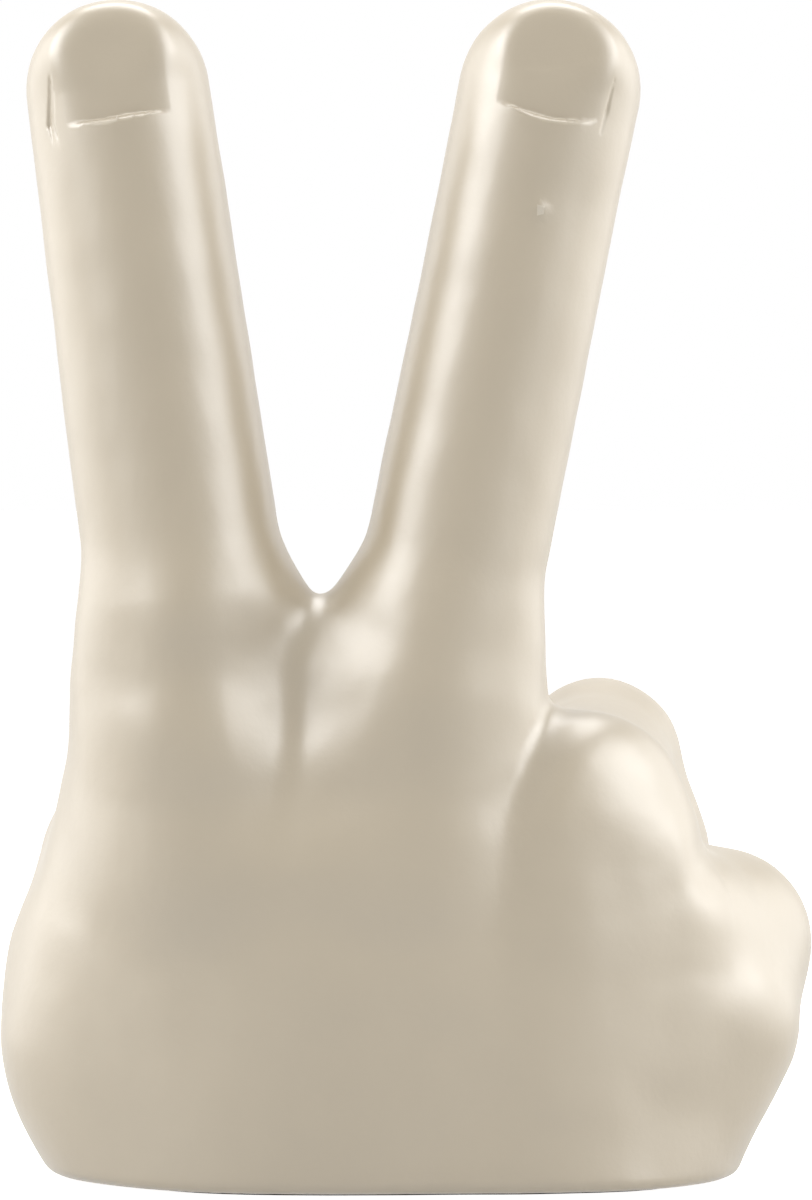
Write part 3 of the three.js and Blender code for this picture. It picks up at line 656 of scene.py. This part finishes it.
lacquer = uneven_material(
    "putty_lacquer", dark=(0.404, 0.337, 0.234), light=(0.432, 0.361, 0.252), patch=0.02, grain=0.0012,
    roughness=(0.43, 0.48), bump=0.000018, coat_weight=1, coat_roughness=0.4, coat_ior=2.1,
)
resin = uneven_material(
    "bare_resin", dark=(0.56, 0.5, 0.4), light=(0.64, 0.58, 0.48), patch=0.01, grain=0.0015,
    roughness=(0.5, 0.65), bump=0.00004,
)
hand_mesh = made(
    hand_object, skin_tree(), low=(-53, -28, -2), high=(53, 48, 143), cell=1.1, lacquer=lacquer,
)
refined(hand_mesh, 1)
refined(hand_mesh, 2)
made(hand_object, settle_tree(2), foot=foot, lacquer=lacquer, resin=resin)
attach(hand_object, "root")
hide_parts("hand_casting")


# The two rods: bright drawn steel, set in the casting's bores so that the raised fingers can't snap.
# They stand in the weight and are held by the resin cast round them.
steel = uneven_material(
    "drawn_steel", dark=(0.5, 0.5, 0.51), light=(0.62, 0.62, 0.63), patch=0.004, grain=0.0004,
    roughness=(0.28, 0.4), bump=0.00001, metallic=1,
)
for rod in ("index_rod", "middle_rod"):
    bpy.data.objects[rod].material_slots[0].material = steel


# The weight: sand and cement poured into the hollow through the base, so that the hand stands firm.
# It sets round the feet of the rods.
mortar = uneven_material(
    "sand_mortar", dark=(0.1, 0.095, 0.088), light=(0.3, 0.28, 0.25), patch=0.0015, grain=0.0007,
    roughness=(0.8, 0.95), bump=0.0003,
)
bpy.data.objects["ballast_weight"].material_slots[0].material = mortar


# The cap: a plate cast in the same resin as the hand and left bare.
# It is glued into its seat over the weight and closes the hollow.
bpy.data.objects["base_cap"].material_slots[0].material = resin


# The felt: a thin dark sheet, cut to the outline of the base and glued into its shallow bed.
# It stands a little proud of the rim, which leaves the thin dark line seen under the front edge.
felt = uneven_material(
    "dark_felt", dark=(0.018, 0.017, 0.016), light=(0.045, 0.042, 0.039), patch=0.0009, grain=0.0003,
    roughness=(0.95, 1), bump=0.0002, sheen_weight=0.3, sheen_roughness=0.6,
)
bpy.data.objects["base_felt"].material_slots[0].material = felt


# The studio: a sheet of white paper as the table, with a soft box and a lit wall on each side and a box above.
# The camera stands in front of the hand's back, a little above its middle.
PAPER_REACH, PAPER_TONE, PAPER_ROUGHNESS, PAPER_GLOW = 6, 0.85, 0.9, 0.9
floor_mesh = bpy.data.meshes.new("floor")
corners = [(x * PAPER_REACH, y * PAPER_REACH, 0) for x, y in ((-1, -1), (1, -1), (1, 1), (-1, 1))]
floor_mesh.from_pydata(corners, [], [(0, 1, 2, 3)])
floor = bpy.data.objects.new("floor", floor_mesh)
scene.collection.objects.link(floor)
paper = bpy.data.materials.new("white_paper")
paper.use_nodes = True
nodes, links = paper.node_tree.nodes, paper.node_tree.links
sheet = nodes["Principled BSDF"]
sheet.inputs["Roughness"].default_value = PAPER_ROUGHNESS
sheet.inputs["Emission Color"].default_value = (1, 1, 1, 1)
path = nodes.new("ShaderNodeLightPath")
glow = nodes.new("ShaderNodeMath")
glow.operation = "MULTIPLY"
glow.inputs[1].default_value = PAPER_GLOW
mirrored = nodes.new("ShaderNodeMath")
mirrored.operation = "MAXIMUM"
links.new(path.outputs["Is Glossy Ray"], mirrored.inputs[0])
links.new(path.outputs["Is Transmission Ray"], mirrored.inputs[1])
shade = nodes.new("ShaderNodeMapRange")
shade.inputs["To Min"].default_value, shade.inputs["To Max"].default_value = PAPER_TONE, 0
links.new(mirrored.outputs[0], shade.inputs["Value"])
links.new(shade.outputs[0], sheet.inputs["Base Color"])
seen = nodes.new("ShaderNodeMath")
seen.operation = "ADD"
links.new(mirrored.outputs[0], seen.inputs[0])
links.new(path.outputs["Is Camera Ray"], seen.inputs[1])
links.new(seen.outputs[0], glow.inputs[0])
links.new(glow.outputs[0], sheet.inputs["Emission Strength"])
floor_mesh.materials.append(paper)

ROOM_LIGHT = 0.1
world = bpy.data.worlds.new("studio")
scene.world = world
world.use_nodes = True
nodes, links = world.node_tree.nodes, world.node_tree.links
background = nodes["Background"]
background.inputs["Color"].default_value = (1, 1, 1, 1)
path = nodes.new("ShaderNodeLightPath")
seen = nodes.new("ShaderNodeMath")
seen.operation = "MAXIMUM"
links.new(path.outputs["Is Camera Ray"], seen.inputs[0])
links.new(path.outputs["Is Glossy Ray"], seen.inputs[1])
level = nodes.new("ShaderNodeMapRange")
level.inputs["To Min"].default_value, level.inputs["To Max"].default_value = ROOM_LIGHT, 1
links.new(seen.outputs[0], level.inputs["Value"])
links.new(level.outputs[0], background.inputs["Strength"])


def softbox(name, place, aim, width, height, level):
    """A soft box whose face shines at the given level, where 1 is white."""
    lamp = bpy.data.lights.new(name, "AREA")
    lamp.shape = "RECTANGLE"
    lamp.size, lamp.size_y = width, height
    lamp.energy = level * math.pi * width * height
    thing = bpy.data.objects.new(name, lamp)
    thing.location = place
    thing.rotation_euler = (Vector(aim) - Vector(place)).to_track_quat("-Z", "Y").to_euler()
    thing.visible_camera = False
    scene.collection.objects.link(thing)


HAND_MIDDLE, HAND_BACK = (0, 0, 0.07), (0, -0.01, 0.07)
softbox("left_box", (-0.53, -0.18, 0.39), HAND_BACK, width=0.5, height=0.36, level=5.4)
softbox("right_box", (0.53, -0.18, 0.36), HAND_BACK, width=0.5, height=0.42, level=3.8)
softbox("left_wall", (-0.6, 0.22, 0.2), HAND_BACK, width=0.6, height=0.5, level=1.3)
softbox("right_wall", (0.6, 0.22, 0.2), HAND_BACK, width=0.6, height=0.5, level=1.5)
softbox("top_box", (0, 0.12, 0.75), HAND_MIDDLE, width=0.6, height=0.5, level=4.3)

CAMERA_DISTANCE, CAMERA_HEIGHT, AIM_HEIGHT = 0.9, 0.092, 0.0694
camera = bpy.data.cameras.new("camera")
camera.sensor_width, camera.lens = 36, 225.9
view = bpy.data.objects.new("camera", camera)
view.location = foot + Vector((0, -CAMERA_DISTANCE, CAMERA_HEIGHT))
aim = foot + Vector((0, 0, AIM_HEIGHT))
view.rotation_euler = (aim - view.location).to_track_quat("-Z", "Y").to_euler()
scene.collection.objects.link(view)
scene.camera = view
scene.view_settings.view_transform = "Standard"
